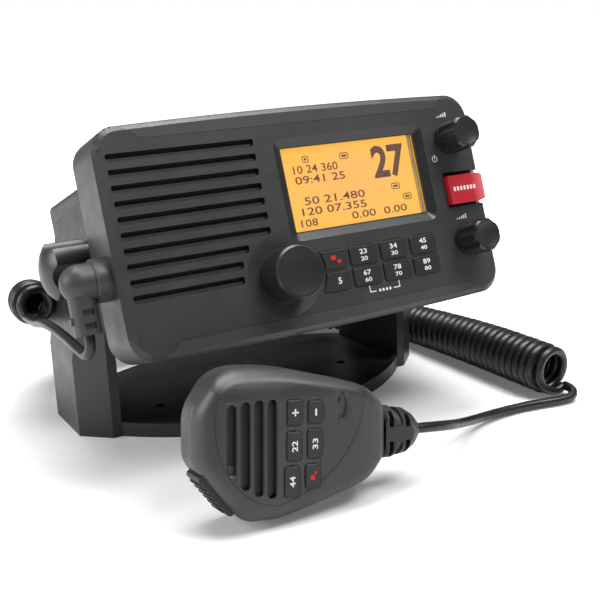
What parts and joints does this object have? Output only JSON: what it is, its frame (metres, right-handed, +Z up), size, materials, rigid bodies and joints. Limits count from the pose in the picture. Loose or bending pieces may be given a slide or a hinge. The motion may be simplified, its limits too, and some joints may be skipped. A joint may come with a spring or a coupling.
{
  "type": "vhf marine radio",
  "caption": "Fixed-mount VHF marine radio in a tilting bracket, with speaker grille, backlit display, keys, knobs, covered distress key and a hand microphone on a curly cord.",
  "frame": {"origin": "on the surface the bracket stands on, at the centre of its four fixing holes", "axes": "+Z up, the face looks to -Y, the tilting axis is along X"},
  "size_m": [0.2638, 0.257, 0.1619],
  "materials": {
    "charcoal_plastic": "satin",
    "grey_plastic": "satin",
    "trim_plastic": "satin",
    "knob_plastic": "satin",
    "key_rubber": "matte",
    "black_rubber": "matte",
    "cord_rubber": "satin",
    "die_cast": "powder coat",
    "steel": "plain",
    "brass": "plain",
    "nickel": "plated",
    "clear_window": "clear",
    "amber_panel": "backlit",
    "red_cover": "translucent",
    "red_key": "gloss",
    "board_green": "satin",
    "black_cloth": "matte",
    "cone_paper": "matte",
    "nylon": "satin"
  },
  "bodies": {
    "bracket": {"gimbal_bracket": "grey_plastic", "cord_coil": "cord_rubber"},
    "radio": {"front_bezel": "charcoal_plastic", "top_trim": "trim_plastic", "bottom_trim": "trim_plastic", "chassis": "die_cast", "chassis_gasket": "black_rubber", "chassis_screws": "steel", "clamp_inserts": "brass", "friction_washers": "black_rubber", "speaker_cloth": "black_cloth", "speaker_basket": "steel", "speaker_cone": "cone_paper", "display_window": "clear_window", "display_panel": "amber_panel", "key_mat": "black_rubber", "main_board": "board_green", "rf_board": "board_green", "channel_encoder": "nylon", "volume_encoder": "nylon", "squelch_control": "nylon", "mic_socket": "nylon", "mic_plug": "nylon", "antenna_socket": "nickel", "power_inlet": "black_rubber", "distress_hinge_pin": "steel", "cord_lead": "cord_rubber"},
    "key_1": {"key_1": "key_rubber"},
    "key_2": {"key_2": "key_rubber"},
    "key_3": {"key_3": "key_rubber"},
    "key_4": {"key_4": "key_rubber"},
    "key_5": {"key_5": "key_rubber"},
    "key_6": {"key_6": "key_rubber"},
    "key_7": {"key_7": "key_rubber"},
    "key_8": {"key_8": "key_rubber"},
    "volume_knob": {"volume_knob": "knob_plastic"},
    "squelch_knob": {"squelch_knob": "knob_plastic"},
    "channel_shaft": {"channel_shaft": "steel"},
    "channel_knob": {"channel_knob": "knob_plastic"},
    "distress_cover": {"distress_cover": "red_cover"},
    "distress_key": {"distress_key": "red_key"},
    "left_clamp_washer": {"left_clamp_washer": "nylon"},
    "left_clamp_knob": {"left_clamp_knob": "knob_plastic"},
    "right_clamp_washer": {"right_clamp_washer": "nylon"},
    "right_clamp_knob": {"right_clamp_knob": "knob_plastic"},
    "microphone": {"mic_front_shell": "charcoal_plastic", "mic_rear_shell": "charcoal_plastic", "mic_board": "board_green", "mic_speaker": "steel", "mic_screws": "steel", "mic_hanger_stud": "steel", "mic_strain_relief": "black_rubber", "cord_tail": "cord_rubber"},
    "ptt_button": {"ptt_button": "key_rubber"},
    "mic_key_1": {"mic_key_1": "key_rubber"},
    "mic_key_2": {"mic_key_2": "key_rubber"},
    "mic_key_3": {"mic_key_3": "key_rubber"},
    "mic_key_4": {"mic_key_4": "key_rubber"},
    "mic_key_5": {"mic_key_5": "key_rubber"},
    "mic_key_6": {"mic_key_6": "key_rubber"}
  },
  "joints": [
    {"name": "radio_tilt", "type": "hinge", "parent": "bracket", "child": "radio", "pos_m": [0, -0.0085, 0.0927], "axis": [1, 0, 0], "range_deg": [-9, 36], "deforming": ["cord_lead"]},
    {"name": "key_1_press", "type": "slide", "parent": "radio", "child": "key_1", "axis": [0, 0.9466, -0.3223], "range_m": [0, 0.0008], "stiffness_N_per_m": 800, "springref_m": -0.0004},
    {"name": "key_2_press", "type": "slide", "parent": "radio", "child": "key_2", "axis": [0, 0.9466, -0.3223], "range_m": [0, 0.0008], "stiffness_N_per_m": 800, "springref_m": -0.0004},
    {"name": "key_3_press", "type": "slide", "parent": "radio", "child": "key_3", "axis": [0, 0.9466, -0.3223], "range_m": [0, 0.0008], "stiffness_N_per_m": 800, "springref_m": -0.0004},
    {"name": "key_4_press", "type": "slide", "parent": "radio", "child": "key_4", "axis": [0, 0.9466, -0.3223], "range_m": [0, 0.0008], "stiffness_N_per_m": 800, "springref_m": -0.0004},
    {"name": "key_5_press", "type": "slide", "parent": "radio", "child": "key_5", "axis": [0, 0.9466, -0.3223], "range_m": [0, 0.0008], "stiffness_N_per_m": 800, "springref_m": -0.0004},
    {"name": "key_6_press", "type": "slide", "parent": "radio", "child": "key_6", "axis": [0, 0.9466, -0.3223], "range_m": [0, 0.0008], "stiffness_N_per_m": 800, "springref_m": -0.0004},
    {"name": "key_7_press", "type": "slide", "parent": "radio", "child": "key_7", "axis": [0, 0.9466, -0.3223], "range_m": [0, 0.0008], "stiffness_N_per_m": 800, "springref_m": -0.0004},
    {"name": "key_8_press", "type": "slide", "parent": "radio", "child": "key_8", "axis": [0, 0.9466, -0.3223], "range_m": [0, 0.0008], "stiffness_N_per_m": 800, "springref_m": -0.0004},
    {"name": "volume_turn", "type": "hinge", "parent": "radio", "child": "volume_knob", "pos_m": [0.0863, -0.04963, 0.13945], "axis": [0, 0.9466, -0.3223], "range_deg": [0, 300]},
    {"name": "squelch_turn", "type": "hinge", "parent": "radio", "child": "squelch_knob", "pos_m": [0.0863, -0.06674, 0.08918], "axis": [0, 0.9466, -0.3223], "range_deg": [0, 300]},
    {"name": "channel_push", "type": "slide", "parent": "radio", "child": "channel_shaft", "axis": [0, 0.9466, -0.3223], "range_m": [0, 0.001], "stiffness_N_per_m": 1500, "springref_m": -0.0006},
    {"name": "channel_turn", "type": "hinge", "parent": "channel_shaft", "child": "channel_knob", "pos_m": [-0.0233, -0.06719, 0.08786], "axis": [0, 0.9466, -0.3223], "continuous": true},
    {"name": "distress_cover_open", "type": "hinge", "parent": "radio", "child": "distress_cover", "pos_m": [0.0986, -0.05644, 0.11324], "axis": [0, 0.3223, 0.9466], "range_deg": [0, 100], "stiffness_Nm_per_rad": 0.004, "springref_deg": -20.05},
    {"name": "distress_press", "type": "slide", "parent": "radio", "child": "distress_key", "axis": [0, 0.9466, -0.3223], "range_m": [0, 0.001], "stiffness_N_per_m": 800, "springref_m": -0.0005},
    {"name": "left_clamp_back_off", "type": "slide", "parent": "bracket", "child": "left_clamp_washer", "axis": [-1, 0, 0], "range_m": [0, 0.0016]},
    {"name": "left_clamp_turn", "type": "hinge", "parent": "left_clamp_washer", "child": "left_clamp_knob", "pos_m": [-0.105, -0.0085, 0.0927], "axis": [-1, 0, 0], "range_deg": [0, 720]},
    {"name": "right_clamp_back_off", "type": "slide", "parent": "bracket", "child": "right_clamp_washer", "axis": [1, 0, 0], "range_m": [0, 0.0016]},
    {"name": "right_clamp_turn", "type": "hinge", "parent": "right_clamp_washer", "child": "right_clamp_knob", "pos_m": [0.105, -0.0085, 0.0927], "axis": [1, 0, 0], "range_deg": [0, 720]},
    {"name": "mic_lift", "type": "slide", "parent": "bracket", "child": "microphone", "axis": [0, 0, 1], "range_m": [0, 0.05], "deforming": ["cord_tail"]},
    {"name": "ptt_press", "type": "slide", "parent": "microphone", "child": "ptt_button", "axis": [0.8541, 0.0401, 0.5186], "range_m": [0, 0.0015], "stiffness_N_per_m": 900, "springref_m": -0.001},
    {"name": "mic_key_1_press", "type": "slide", "parent": "microphone", "child": "mic_key_1", "axis": [0.0712, 0.9786, -0.1928], "range_m": [0, 0.0006], "stiffness_N_per_m": 800, "springref_m": -0.0004},
    {"name": "mic_key_2_press", "type": "slide", "parent": "microphone", "child": "mic_key_2", "axis": [0.0712, 0.9786, -0.1928], "range_m": [0, 0.0006], "stiffness_N_per_m": 800, "springref_m": -0.0004},
    {"name": "mic_key_3_press", "type": "slide", "parent": "microphone", "child": "mic_key_3", "axis": [0.0712, 0.9786, -0.1928], "range_m": [0, 0.0006], "stiffness_N_per_m": 800, "springref_m": -0.0004},
    {"name": "mic_key_4_press", "type": "slide", "parent": "microphone", "child": "mic_key_4", "axis": [0.0712, 0.9786, -0.1928], "range_m": [0, 0.0006], "stiffness_N_per_m": 800, "springref_m": -0.0004},
    {"name": "mic_key_5_press", "type": "slide", "parent": "microphone", "child": "mic_key_5", "axis": [0.0712, 0.9786, -0.1928], "range_m": [0, 0.0006], "stiffness_N_per_m": 800, "springref_m": -0.0004},
    {"name": "mic_key_6_press", "type": "slide", "parent": "microphone", "child": "mic_key_6", "axis": [0.0712, 0.9786, -0.1928], "range_m": [0, 0.0006], "stiffness_N_per_m": 800, "springref_m": -0.0004}
  ],
  "couplings": [
    {"joint": "left_clamp_turn", "follows": "left_clamp_back_off", "rad_per_m": 7854},
    {"joint": "right_clamp_turn", "follows": "right_clamp_back_off", "rad_per_m": 7854}
  ]
}
